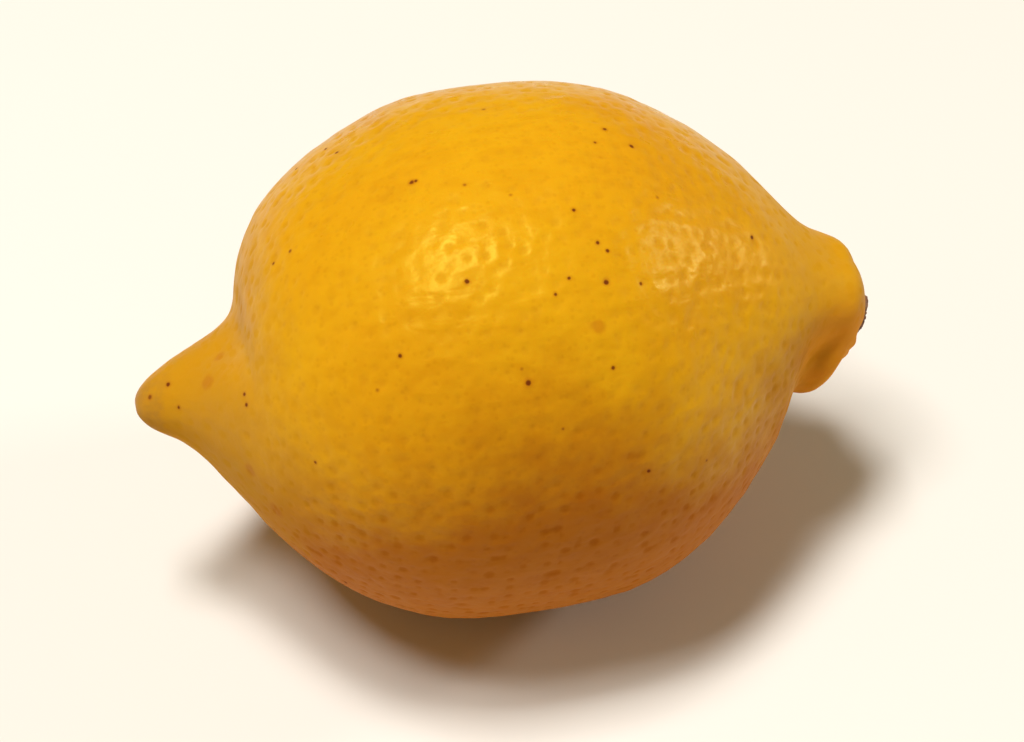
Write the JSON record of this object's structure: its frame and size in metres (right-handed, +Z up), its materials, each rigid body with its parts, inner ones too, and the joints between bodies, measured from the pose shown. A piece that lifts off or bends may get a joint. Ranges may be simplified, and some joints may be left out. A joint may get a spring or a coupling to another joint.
{
  "type": "lemon",
  "caption": "Whole ripe lemon with a pointed nipple, a furrowed neck and a dried stem button, lying on its side on a small flat spot.",
  "frame": {"origin": "on the resting surface, under the middle of the fruit's outline", "axes": "+X along the fruit from the nipple to the stem end, +Y away from the viewer, +Z up"},
  "size_m": [0.091, 0.0642, 0.0638],
  "materials": {
    "peel": "ripe lemon peel: waxy satin yellow, dimpled all over by oil glands, with a few tiny dark specks",
    "stem": "dried brown stem button, dull and fibrous"
  },
  "bodies": {
    "root": {"lemon": "peel", "stem_button": "stem"}
  },
  "joints": []
}
